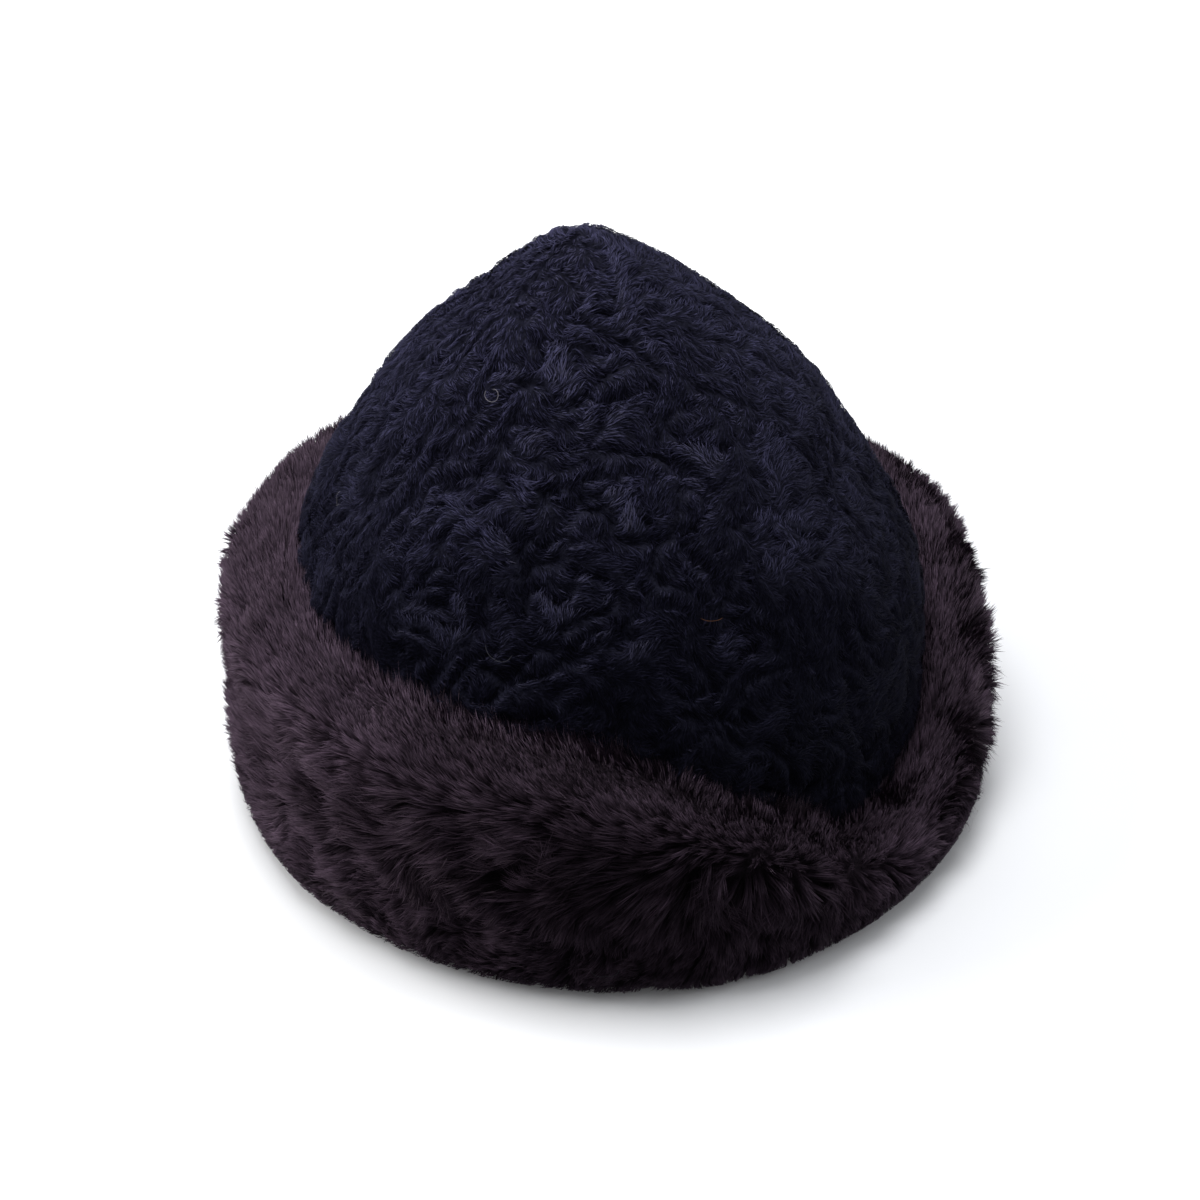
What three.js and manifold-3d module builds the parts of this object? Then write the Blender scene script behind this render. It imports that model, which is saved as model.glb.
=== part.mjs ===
// A cone-crowned fur hat: a hollow crown of short curled pile in a deep turned-up fur cuff, which
// stands high round the sides and back and dips at the front.
// Millimetres, +Z up. The hat's front faces -Y, and the origin is on the ground, at the middle.
import * as THREE from 'three';
import { mergeVertices } from 'three/addons/utils/BufferGeometryUtils.js';
import Module from 'manifold-3d';

const wasm = await Module();
wasm.setup();

// Crown, measured over its pile
const CROWN_HEIGHT = 201; // from the ground to the tip
const CROWN_RADIUS = 105; // where it is widest
const CROWN_WALL = 7; // skin and short pile together
const TIP_BACK = 7; // how far the tip leans behind the middle
const TIP_LEFT = 4; // how far the tip leans towards -X
const CURL_SPACING = 26; // from one ridge of curled pile to the next
const CURL_DEPTH = 2.6; // from a ridge down to its furrow

// Cuff, measured over its long fur
const CUFF_DEPTH = 26; // from the crown out to the tips of the fur
const CUFF_BACK_HEIGHT = 95;
const CUFF_FRONT_HEIGHT = 31;
const CUFF_FOLD = 4; // thickness of the fold that the crown's edge stands in
const RIM_DROP = 20; // height over which the rim rounds in from the outer side
const RIM_TUCK = 8; // how far in past the crown's surface the rim's round would end
const FOOT_DROP = 16; // height over which the foot rounds in to the ground
const FOOT_INSET = 9; // how far inside the outer side the foot leaves the ground
const CLEARANCE = 0.4; // between the crown and the cuff

// Locks of the cuff's fur, in rows that lap over each other down the side
const LOCK_ROWS = 5; // below the rim's own row
const LOCKS_ROUND = 40; // in each row
const LOCK_LIFT = 4; // how far a lock's middle stands out at its tip
const LOCK_TUCK = 3.5; // how far in a row starts, under the tips of the row above
const LOCK_SWEEP = 11; // how far round each row's tips trail its roots, towards the front's -X side

// The crown's outline from its edge to its tip: shares of its height and of its widest radius
const CROWN_OUTLINE = [
  { up: 0.0, out: 0.945 },
  { up: 0.09, out: 0.99 },
  { up: 0.23, out: 1.0 },
  { up: 0.4, out: 0.97 },
  { up: 0.57, out: 0.825 },
  { up: 0.715, out: 0.645 },
  { up: 0.837, out: 0.435 },
  { up: 0.93, out: 0.255 },
  { up: 0.982, out: 0.12 },
  { up: 1.0, out: 0.0 },
];

// The rim's height round the hat: degrees from the front towards +X, and shares of the rise from
// the front's height to the back's
const RIM_HEIGHTS = [
  { turn: 0, rise: 0.0 },
  { turn: 16, rise: 0.14 },
  { turn: 34, rise: 0.52 },
  { turn: 54, rise: 0.83 },
  { turn: 90, rise: 0.88 },
  { turn: 140, rise: 0.94 },
  { turn: 200, rise: 1.0 },
  { turn: 250, rise: 0.95 },
  { turn: 285, rise: 0.91 },
  { turn: 306, rise: 0.83 },
  { turn: 326, rise: 0.48 },
  { turn: 344, rise: 0.13 },
  { turn: 360, rise: 0.0 },
];

// How the crown's ridges run: waves of their wandering and of their breaks for each ridge passed
const CURL = {
  wanderRound: 0.53, // round the crown
  wanderUp: 0.43, // up the crown
  wander: 1.7, // how far it moves a ridge, in radians of the ridges' own wave
  breakLong: 0.78, // the two waves of the breaks cross at a slant
  breakShort: 0.33,
  break: 0.9, // how much the ridges fade at a break, in radians
};

// The rows' places along the cuff's section, as shares of its length from the ground over the rim
const FUR = {
  lowestTips: 0.1, // the lowest row's tips, between the locks
  rimRoots: 0.6, // where the rim's row roots and the highest row below starts
  rimTips: 0.74,
  rimInside: 0.87, // where the rim's fur lies down towards the crown
  reach: 0.07, // how much further a lock's middle reaches than the gaps beside it
  stray: 0.35, // how much locks differ in reach, as a share of it
};
const GOLDEN_TURN = Math.PI * (3 - Math.sqrt(5)); // spreads the locks' differences evenly

// Facets
const SIDES_ROUND = 76; // round the crown and the cuff
const CROWN_BANDS = 24; // from the crown's edge to its tip
const LINING_STEP = 4; // crown bands to each band of its inside
const ARC_BANDS = 4; // in a quarter turn of the cuff's section
const LOCK_SIDES = 4; // round the cuff for each lock
const SMALLEST_STEP = 0.02; // surface detail smaller than this is smoothed away

const crownBase = CUFF_FOLD + CLEARANCE;
const cuffSide = CROWN_RADIUS + CUFF_DEPTH - LOCK_LIFT;
const crownOutline = new THREE.SplineCurve(
  CROWN_OUTLINE.map(
    ({ up, out }) =>
      new THREE.Vector2(
        out * CROWN_RADIUS,
        THREE.MathUtils.lerp(crownBase, CROWN_HEIGHT, up),
      ),
  ),
).getSpacedPoints(CROWN_BANDS);

const crownRadiusAt = smoothTable(crownOutline, 'y', 'x');
const rimRiseAt = smoothTable(RIM_HEIGHTS, 'turn', 'rise');

// A smooth function through a table's rows, from one column to another
function smoothTable(rows, from, to) {
  const places = rows.map((row) => row[from]);
  const values = rows.map((row) => row[to]);
  const curve = new THREE.CubicInterpolant(places, values, 1);
  return (place) => curve.evaluate(place)[0];
}

// A closed surface from a first point through rings of points to a last point. Seen from the first
// point's side, each ring runs anticlockwise.
function loft(first, rings, last) {
  const sides = rings[0].length;
  const points = [first, ...rings.flat(), last];
  const end = points.length - 1;
  const faces = [];
  for (let side = 0; side < sides; side += 1) {
    const next = (side + 1) % sides;
    faces.push(0, 1 + side, 1 + next);
    for (let upper = 1; upper < end - sides; upper += sides) {
      const lower = upper + sides;
      faces.push(upper + side, lower + side, lower + next);
      faces.push(upper + side, lower + next, upper + next);
    }
    faces.push(end, end - sides + next, end - sides + side);
  }
  const geometry = new THREE.BufferGeometry().setFromPoints(points);
  geometry.setIndex(faces);
  return geometry;
}

function solidOf(geometry) {
  const merged = mergeVertices(geometry);
  return new wasm.Manifold(
    new wasm.Mesh({
      numProp: 3,
      vertProperties: merged.attributes.position.array,
      triVerts: new Uint32Array(merged.index.array),
    }),
  );
}

function geometryOf(solid) {
  const mesh = solid.getMesh();
  const geometry = new THREE.BufferGeometry();
  geometry.setAttribute('position', new THREE.BufferAttribute(mesh.vertProperties, mesh.numProp));
  geometry.setIndex(new THREE.BufferAttribute(mesh.triVerts, 1));
  return geometry;
}

// The turns of the facets' corners round the hat, in radians from the front towards +X
const turns = Array.from({ length: SIDES_ROUND }, (_, side) => (2 * Math.PI * side) / SIDES_ROUND);

function outward(turn) {
  return new THREE.Vector3(Math.sin(turn), -Math.cos(turn), 0);
}

function atRadius(turn, radius, height) {
  return outward(turn).multiplyScalar(radius).setZ(height);
}

// The crown's outline's outward normal at one of its points
function outlineNormal(index) {
  const here = crownOutline[index];
  const before = crownOutline[index - 1] ?? new THREE.Vector2(here.x, here.y - 1);
  const after = crownOutline[index + 1] ?? new THREE.Vector2(-before.x, before.y);
  return new THREE.Vector2(after.y - before.y, before.x - after.x).normalize();
}

// A point a distance off the crown's smooth outer surface, with the crown's lean
function crownPoint(index, turn, off) {
  const place = crownOutline[index].clone().addScaledVector(outlineNormal(index), off);
  const share = (place.y - crownBase) / (CROWN_HEIGHT - crownBase);
  const lean = new THREE.Vector3(-TIP_LEFT, TIP_BACK, 0).multiplyScalar(share * share);
  return atRadius(turn, place.x, place.y).add(lean);
}

// How deep the pile lies at a point: ridges that run round the crown and wander up and down, from
// 0 on a ridge to 1 in a furrow
function furrow(point) {
  const { x, y, z } = point.clone().multiplyScalar((2 * Math.PI) / CURL_SPACING);
  const bend = Math.sin(CURL.wanderUp * z);
  const wander = Math.sin(CURL.wanderRound * x + bend) + Math.sin(CURL.wanderRound * y - bend);
  const breaks =
    Math.sin(CURL.breakLong * x - CURL.breakShort * y) *
    Math.sin(CURL.breakLong * y + CURL.breakShort * x);
  return 0.5 - 0.5 * Math.sin(z + CURL.wander * wander) * Math.cos(CURL.break * breaks);
}

// A point of the crown's curled pile
function pilePoint(index, turn) {
  return crownPoint(index, turn, -CURL_DEPTH * furrow(crownPoint(index, turn, 0)));
}

function makeCrown() {
  const outside = [];
  for (let index = CROWN_BANDS - 1; index >= 0; index -= 1) {
    outside.push(turns.map((turn) => pilePoint(index, turn)));
  }
  const inside = [];
  for (let index = 0; index <= CROWN_BANDS - LINING_STEP; index += LINING_STEP) {
    inside.push(turns.map((turn) => crownPoint(index, turn, -CROWN_WALL)));
  }
  const insideTip = crownPoint(CROWN_BANDS, 0, -CROWN_WALL);
  return loft(pilePoint(CROWN_BANDS, 0), [...outside, ...inside], insideTip);
}

// The space that the cuff leaves: the crown with its clearance, and the head's way in through the
// fold
function makeCrownRoom() {
  const rings = [];
  for (let index = CROWN_BANDS - 1; index >= 0; index -= 1) {
    rings.push(turns.map((turn) => crownPoint(index, turn, CLEARANCE)));
  }
  const edge = crownOutline[0].x + CLEARANCE;
  rings.push(turns.map((turn) => atRadius(turn, edge, CUFF_FOLD)));
  const tip = crownPoint(CROWN_BANDS, 0, CLEARANCE);
  const room = solidOf(loft(tip, rings, new THREE.Vector3(0, 0, CUFF_FOLD)));
  const opening = crownOutline[0].x - CROWN_WALL;
  const top = 2 * CUFF_FOLD;
  const wayIn = solidOf(
    loft(
      new THREE.Vector3(0, 0, top),
      [top, -CUFF_FOLD].map((height) => turns.map((turn) => atRadius(turn, opening, height))),
      new THREE.Vector3(0, 0, -CUFF_FOLD),
    ),
  );
  return room.add(wayIn);
}

function rimHeight(turn) {
  const degrees = THREE.MathUtils.euclideanModulo(THREE.MathUtils.radToDeg(turn), 360);
  return THREE.MathUtils.lerp(CUFF_FRONT_HEIGHT, CUFF_BACK_HEIGHT, rimRiseAt(degrees));
}

// The cuff's section at a turn, under its locks: out from the ground, up the side and over the rim
function cuffSection(turn) {
  const top = rimHeight(turn) - LOCK_LIFT;
  const fit = Math.min(1, top / (RIM_DROP + FOOT_DROP));
  const inner = crownRadiusAt(top) - RIM_TUCK;
  const section = [];
  for (let step = 0; step <= ARC_BANDS; step += 1) {
    const angle = (Math.PI / 2) * (step / ARC_BANDS);
    const radius = cuffSide - FOOT_INSET * (1 - Math.sin(angle));
    section.push(new THREE.Vector2(radius, fit * FOOT_DROP * (1 - Math.cos(angle))));
  }
  for (let step = 0; step <= 2 * ARC_BANDS; step += 1) {
    const angle = (Math.PI / 2) * (step / ARC_BANDS);
    const radius = (cuffSide + inner) / 2 + (Math.cos(angle) * (cuffSide - inner)) / 2;
    section.push(new THREE.Vector2(radius, top - fit * RIM_DROP * (1 - Math.sin(angle))));
  }
  return section;
}

// A point of the cuff: a share of the way along its section at a turn, and a distance out from it
function cuffPoint(turn, along, off) {
  const section = new THREE.SplineCurve(cuffSection(turn));
  const place = section.getPointAt(along);
  const rise = section.getTangentAt(along);
  return atRadius(turn, place.x + off * rise.y, place.y - off * rise.x);
}

// A ring of the fur at the tips of a row, or under them: its points swell from the gaps between
// the locks to the locks' middles, and each row's locks cover the gaps of the next. The rows sweep
// round less where the cuff is low.
function furRing(row, along, reach, gapOff, middleOff) {
  return Array.from({ length: LOCKS_ROUND * LOCK_SIDES }, (_, side) => {
    const lock = side / LOCK_SIDES + row / 2;
    const swell = 0.5 + 0.5 * Math.cos(2 * Math.PI * lock);
    const which = (Math.round(lock) % LOCKS_ROUND) + row * LOCKS_ROUND;
    const stray = 1 + FUR.stray * Math.sin(GOLDEN_TURN * which);
    const turn = (2 * Math.PI * side) / (LOCKS_ROUND * LOCK_SIDES);
    const sweep = (row * LOCK_SWEEP * rimHeight(turn)) / (CUFF_BACK_HEIGHT * cuffSide);
    const off = THREE.MathUtils.lerp(gapOff, middleOff, swell);
    return cuffPoint(turn - sweep, Math.max(0, along + swell * stray * reach), off);
  });
}

// The cuff as if it were filled: rows of locks from the rim down to the ground
function makeFilledCuff() {
  const rings = [
    furRing(0, 1, 0, 0, 0),
    furRing(0, FUR.rimInside, 0, 0, 0),
    furRing(0, FUR.rimTips, 0, 0, LOCK_LIFT),
    furRing(0, FUR.rimRoots, 0, -LOCK_TUCK, 0),
  ];
  for (let row = 1; row <= LOCK_ROWS; row += 1) {
    const along = THREE.MathUtils.lerp(FUR.rimRoots, FUR.lowestTips, row / LOCK_ROWS);
    rings.push(furRing(row, along, -FUR.reach, 0, LOCK_LIFT));
    rings.push(furRing(row, along, 0, -LOCK_TUCK, -LOCK_TUCK));
  }
  rings.push(furRing(LOCK_ROWS, 0, 0, 0, 0));
  const middle = new THREE.Vector3(0, 0, CUFF_FRONT_HEIGHT / 2);
  return solidOf(loft(middle, rings, new THREE.Vector3()));
}

function makeCuff() {
  const cuff = makeFilledCuff().subtract(makeCrownRoom()).trimByPlane([0, 0, 1], 0);
  return geometryOf(cuff.simplify(SMALLEST_STEP));
}

function piece(name, geometry, colour) {
  const material = new THREE.MeshStandardMaterial({ color: colour, roughness: 0.95, metalness: 0 });
  const mesh = new THREE.Mesh(geometry, material);
  mesh.name = name;
  return mesh;
}

const hat = new THREE.Group();
hat.add(piece('crown', makeCrown(), 0x14141d));
hat.add(piece('cuff', makeCuff(), 0x2b2022));

export default hat;
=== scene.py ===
# The looks of a cone-crowned fur hat: short curled pile on the crown and long plush fur on the
# turned-up cuff. Metres, +Z up, the hat's front towards -Y. A turn is an angle round the hat, in
# radians from the front towards +X. A share is a part of the way along a wall's section.
import math

import bpy
import numpy as np
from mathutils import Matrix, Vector


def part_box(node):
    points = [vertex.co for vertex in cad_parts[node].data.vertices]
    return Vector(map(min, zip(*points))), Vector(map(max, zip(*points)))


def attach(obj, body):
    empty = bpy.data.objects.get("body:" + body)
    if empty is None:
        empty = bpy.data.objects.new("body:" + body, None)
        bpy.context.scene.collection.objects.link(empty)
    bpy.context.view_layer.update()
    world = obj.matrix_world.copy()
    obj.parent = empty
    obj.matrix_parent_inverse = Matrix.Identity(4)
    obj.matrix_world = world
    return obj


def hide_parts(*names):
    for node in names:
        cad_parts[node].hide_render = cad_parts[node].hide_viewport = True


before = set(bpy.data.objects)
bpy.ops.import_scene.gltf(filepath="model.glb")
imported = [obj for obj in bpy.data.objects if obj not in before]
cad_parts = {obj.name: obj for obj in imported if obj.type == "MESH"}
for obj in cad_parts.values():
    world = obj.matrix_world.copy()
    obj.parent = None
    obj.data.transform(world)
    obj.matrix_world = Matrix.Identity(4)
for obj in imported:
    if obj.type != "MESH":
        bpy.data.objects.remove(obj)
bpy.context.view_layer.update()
crown_low, crown_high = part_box("crown")
cuff_low, cuff_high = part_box("cuff")

MM = 0.001
FULL_TURN = 2 * math.pi

# Sizes of the crown
CROWN_BASE = crown_low.z
CROWN_TOP = crown_high.z + 1 * MM
CROWN_RADIUS = (crown_high.x - crown_low.x) / 2
CROWN_WALL = 7 * MM
TIP_LEAN = np.array([-4.6, 7.8, 0]) * MM  # of the tip from the middle
CROWN_OUTLINE = {  # from the edge to the tip: shares of the height and of the widest radius
    "up": (0.0, 0.09, 0.23, 0.4, 0.57, 0.715, 0.837, 0.93, 0.982, 1.0),
    "out": (0.945, 0.99, 1.0, 0.97, 0.828, 0.656, 0.445, 0.245, 0.11, 0.0),
}
CROWN_SECTIONS = 8  # all the same, as the crown is round
CROWN_ROWS = 400

# Sizes of the cuff
LOCK_LIFT = 4 * MM  # how far locks stand out of the fur's body
CUFF_SIDE = (cuff_high.x - cuff_low.x) / 2 - LOCK_LIFT
CUFF_BACK_HEIGHT = cuff_high.z + 1 * MM
CUFF_FRONT_HEIGHT = 31 * MM
CUFF_FOLD = 4 * MM
RIM_DROP = 20 * MM  # height over which the rim rounds in
RIM_TUCK = 8 * MM
FOOT_DROP = 16 * MM  # height over which the foot rounds in to the ground
FOOT_INSET = 9 * MM
FOOT_SPREAD = 2.4 * MM  # how much wider the fur lies at the foot on one side of the front
FOOT_SPREAD_TURN = math.radians(319)
FOOT_SPREAD_WIDTH = math.radians(18)
RIM_HEIGHTS = {  # degrees from the front towards +X, and shares of the rise from front to back
    "turn": (0, 16, 34, 54, 90, 140, 200, 250, 285, 306, 326, 344, 360),
    "rise": (0.0, 0.13, 0.49, 0.79, 0.84, 0.92, 1.0, 0.95, 0.91, 0.83, 0.48, 0.13, 0.0),
}
CUFF_SECTIONS = 360
CUFF_ROWS = 160
FOOT_POINTS = 24
RIM_POINTS = 48
WAVE_SPREAD = 0.75, 1.35  # of a field's wave lengths, against its size
PLASTIC_NUMBER = 1.324717957244746  # its powers spread pairs evenly
TRIES = 6  # places tried for each one that is kept


def smooth_line(table, steps=24):
    """A smooth line through a table's rows, as a dense list of points."""
    rows = np.column_stack([np.array(column, float) for column in table.values()])
    padded = np.vstack([rows[:1], rows, rows[-1:]])
    share = np.linspace(0, 1, steps, endpoint=False)[:, None]
    parts = []
    for before, start, end, after in zip(padded, padded[1:], padded[2:], padded[3:]):
        parts.append(
            start
            + 0.5 * (end - before) * share
            + (before - 2.5 * start + 2 * end - 0.5 * after) * share**2
            + 0.5 * (3 * start - before - 3 * end + after) * share**3
        )
    return np.vstack([*parts, rows[-1:]])


def evenly(line, count):
    """The same line as count points at even distances along it."""
    steps = np.linalg.norm(np.diff(line, axis=0), axis=1)
    reached = np.concatenate([[0], np.cumsum(steps)])
    places = np.linspace(0, reached[-1], count)
    return np.column_stack([np.interp(places, reached, column) for column in line.T])


def smooth_step(low, high, value):
    """0 below the low value and 1 above the high one, with an even rise between."""
    share = np.clip((value - low) / (high - low), 0, 1)
    return share * share * (3 - 2 * share)


def mix(start, end, share):
    """What lies at a share of the way from start to end."""
    return start + (end - start) * share


def unit(vectors):
    """The vectors, made one long."""
    return vectors / np.maximum(np.linalg.norm(vectors, axis=-1, keepdims=True), 1e-9)


def lean_at(height):
    """How far the crown's middle has moved sideways at a height."""
    share = np.clip((height - CROWN_BASE) / (CROWN_TOP - CROWN_BASE), 0, 1)
    return (share**2)[..., None] * TIP_LEAN


class Wall:
    """A wall round the hat, from its section's radius and height at each turn and share."""

    def __init__(self, sections, leans):
        tables = np.array(sections)
        self.turns, self.shares = tables.shape[:2]
        self.lengths = np.linalg.norm(np.diff(tables, axis=1), axis=2).sum(1)
        along = unit(np.gradient(tables, axis=1))
        self.fields = np.concatenate([tables, along], axis=2)
        self.leans = leans

    def read(self, turn, share):
        """Radius, height and the section's direction, as radius and height."""
        across = np.mod(turn, FULL_TURN) / FULL_TURN * self.turns
        column = np.floor(across).astype(int)
        across = (across - column)[..., None]
        up = np.clip(share, 0, 1) * (self.shares - 1)
        row = np.minimum(np.floor(up).astype(int), self.shares - 2)
        up = (up - row)[..., None]
        column, after = column % self.turns, (column + 1) % self.turns
        low = mix(self.fields[column, row], self.fields[after, row], across)
        high = mix(self.fields[column, row + 1], self.fields[after, row + 1], across)
        return np.moveaxis(mix(low, high, up), -1, 0)

    def length(self, turn):
        """How long the wall's section is at a turn."""
        across = np.arange(self.turns + 1) * FULL_TURN / self.turns
        return np.interp(np.mod(turn, FULL_TURN), across, [*self.lengths, self.lengths[0]])

    def at(self, turn, share, off=0.0):
        """Points off the wall, and there the directions round it, along its section and out."""
        radius, height, out, up = self.read(turn, share)
        level = np.zeros_like(radius)
        round_it = np.stack([np.cos(turn), np.sin(turn), level], -1)
        outward = np.stack([np.sin(turn), -np.cos(turn), level], -1)
        upward = np.array([0, 0, 1.0])
        along = out[..., None] * outward + up[..., None] * upward
        normal = up[..., None] * outward - out[..., None] * upward
        points = radius[..., None] * outward + height[..., None] * upward
        if self.leans:
            points = points + lean_at(height)
        return points + np.asarray(off)[..., None] * normal, round_it, along, normal


crown_line = smooth_line(CROWN_OUTLINE)
crown_line = np.column_stack(
    [crown_line[:, 1] * CROWN_RADIUS, mix(CROWN_BASE, CROWN_TOP, crown_line[:, 0])]
)
crown_wall = Wall([evenly(crown_line, CROWN_ROWS)] * CROWN_SECTIONS, leans=True)


def crown_radius(height):
    return np.interp(height, crown_line[:, 1], crown_line[:, 0])


rim_line = smooth_line(RIM_HEIGHTS)


def rim_height(turn):
    rise = np.interp(np.degrees(np.mod(turn, FULL_TURN)), rim_line[:, 0], rim_line[:, 1])
    return mix(CUFF_FRONT_HEIGHT, CUFF_BACK_HEIGHT, rise)


def foot_spread(turn):
    """How much wider the fur lies at the foot than its even round."""
    away = np.mod(turn - FOOT_SPREAD_TURN + math.pi, FULL_TURN) - math.pi
    return FOOT_SPREAD * np.exp(-((away / FOOT_SPREAD_WIDTH) ** 2))


def cuff_section(turn):
    """The fur's body at a turn: out from the ground, up the side and over the rim."""
    top = rim_height(turn) - LOCK_LIFT
    fit = min(1, top / (RIM_DROP + FOOT_DROP))
    inner = crown_radius(top) - RIM_TUCK
    foot = np.linspace(0, math.pi / 2, FOOT_POINTS)
    rim = np.linspace(0, math.pi, RIM_POINTS)
    radius = np.concatenate(
        [
            CUFF_SIDE - (FOOT_INSET - foot_spread(turn)) * (1 - np.sin(foot)),
            (CUFF_SIDE + inner) / 2 + np.cos(rim) * (CUFF_SIDE - inner) / 2,
        ]
    )
    height = np.concatenate(
        [fit * FOOT_DROP * (1 - np.cos(foot)), top - fit * RIM_DROP * (1 - np.sin(rim))]
    )
    return evenly(np.column_stack([radius, height]), CUFF_ROWS)


cuff_turns = np.arange(CUFF_SECTIONS) * FULL_TURN / CUFF_SECTIONS
cuff_wall = Wall([cuff_section(turn) for turn in cuff_turns], leans=False)


def clear_of_crown(points, gap):
    """The points, moved out level where they are nearer to the crown than a gap."""
    height = points[..., 2]
    middle = lean_at(height)
    level = points[..., :2] - middle[..., :2]
    reach = np.linalg.norm(level, axis=-1)
    least = crown_radius(height) + gap
    level = level * (np.maximum(reach, least) / np.maximum(reach, 1e-6))[..., None]
    return np.concatenate([level + middle[..., :2], points[..., 2:]], axis=-1)


def waves(seed, size, flat=None, count=28):
    """A smooth random field of waves about size long, whose values spread about 1 round 0."""
    rng = np.random.default_rng(seed)
    directions = unit(rng.normal(size=(count, 3)) + (0 if flat is None else np.array(flat)))
    vectors = directions * (FULL_TURN / (size * rng.uniform(*WAVE_SPREAD, count)))[:, None]
    phases = rng.uniform(0, FULL_TURN, count)

    def value(points):
        angles = points @ vectors.T + phases
        return np.sin(angles).sum(-1) * math.sqrt(2 / count)

    return value


def crease(field, width):
    """1 where a field is zero, falling off to both sides."""
    return np.exp(-np.abs(field) / width)


def relief_normal(relief, step, places, round_it, along, normal):
    """The direction out of a relief over places on a wall, from its slopes a step around them."""
    slopes = [
        (relief(places + step * way) - relief(places - step * way)) / (2 * step)
        for way in (round_it, along)
    ]
    return normal - slopes[0][:, None] * round_it - slopes[1][:, None] * along


def spread(count, seed):
    """Even but random-looking pairs of shares."""
    start = np.random.default_rng(seed).random(2)
    steps = (1 / PLASTIC_NUMBER, 1 / PLASTIC_NUMBER**2)
    return (start + np.outer(np.arange(count), steps)) % 1


def scatter(wall, count, seed, wanted):
    """Turns and shares of count places spread evenly over the wanted part of a wall."""
    turn, share = spread(TRIES * count, seed).T
    turn = turn * FULL_TURN
    area = wall.read(turn, share)[0] * wall.length(turn)
    chance = np.random.default_rng(seed + 1).random(len(turn))
    kept = chance < area / area.max() * wanted(turn, share)
    return turn[kept][:count], share[kept][:count]


# Meshes


def mesh_piece(name, points, faces, material, uv=None, normals=None):
    """A piece made of triangles, with its map's places and its normals given for each point."""
    mesh = bpy.data.meshes.new(name)
    mesh.vertices.add(len(points))
    mesh.vertices.foreach_set("co", np.asarray(points, np.float32).ravel())
    mesh.loops.add(faces.size)
    mesh.loops.foreach_set("vertex_index", faces.astype(np.int32).ravel())
    mesh.polygons.add(len(faces))
    mesh.polygons.foreach_set("loop_start", np.arange(0, faces.size, 3, dtype=np.int32))
    mesh.polygons.foreach_set("use_smooth", np.ones(len(faces), bool))
    if uv is not None:
        layer = mesh.uv_layers.new(name="OFBake")
        layer.data.foreach_set("uv", np.asarray(uv[faces.ravel()], np.float32).ravel())
    mesh.update(calc_edges=True)
    if normals is not None:
        mesh.normals_split_custom_set_from_vertices(normals.astype(np.float32))
    mesh.materials.append(material)
    piece = bpy.data.objects.new(name, mesh)
    bpy.context.scene.collection.objects.link(piece)
    return piece


def ring_faces(rings, sides, closed):
    """Triangles between rings of points, each ring joined to the next."""
    ring, side = np.meshgrid(np.arange(rings if closed else rings - 1), np.arange(sides))
    ring, side = ring.ravel(), side.ravel()
    after, upper = (side + 1) % sides, (ring + 1) % rings
    start, start_after = ring * sides + side, ring * sides + after
    end, end_after = upper * sides + side, upper * sides + after
    first = np.column_stack([start, start_after, end_after])
    second = np.column_stack([start, end_after, end])
    return np.vstack([first, second])


def strand_piece(name, paths, widths, facing, shading, variant, material):
    """One joined mesh of strands. A path runs from a root's point through wide places to a tip.
    Each strand is lit as the soft surface that it is part of: shading is that surface's normal."""
    count, places = paths.shape[:2]
    middles = paths[:, 1:-1]
    heading = unit(paths[:, 2:] - paths[:, :-2])
    side = unit(np.cross(heading, facing[:, None])) * widths[..., None] / 2
    pairs = np.stack([middles - side, middles + side], axis=2).reshape(count, -1, 3)
    points = np.concatenate([paths[:, :1], pairs, paths[:, -1:]], axis=1)
    each = points.shape[1]
    faces = [(0, 2, 1)]
    for left in range(1, each - 3, 2):
        faces += [(left, left + 1, left + 3), (left, left + 3, left + 2)]
    faces.append((each - 3, each - 2, each - 1))
    faces = np.arange(count)[:, None, None] * each + np.array(faces)
    along = np.linspace(0, 1, places)
    along = np.concatenate([along[:1], np.repeat(along[1:-1], 2), along[-1:]])
    uv = np.stack(
        [np.repeat(variant[:, None], each, 1), np.repeat(along[None], count, 0)], axis=-1
    )
    points, faces, uv = points.reshape(-1, 3), faces.reshape(-1, 3), uv.reshape(-1, 2)
    return mesh_piece(name, points, faces, material, uv, np.repeat(shading, each, axis=0))


# Materials

PATCH_NOISE = 0.3, 0.7  # the noise's values between which patches change
SKIN_GRAIN = 0.9 * MM
SKIN_GRAIN_DEPTH = 0.5 * MM
SKIN_ROUGHNESS = 0.75, 0.95
SKIN_COLOURS = {  # dark and light
    "crown_skin": ((0.006, 0.006, 0.0115), (0.0145, 0.0145, 0.0285)),
    "cuff_skin": ((0.009, 0.0063, 0.009), (0.032, 0.022, 0.031)),
}


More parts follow.
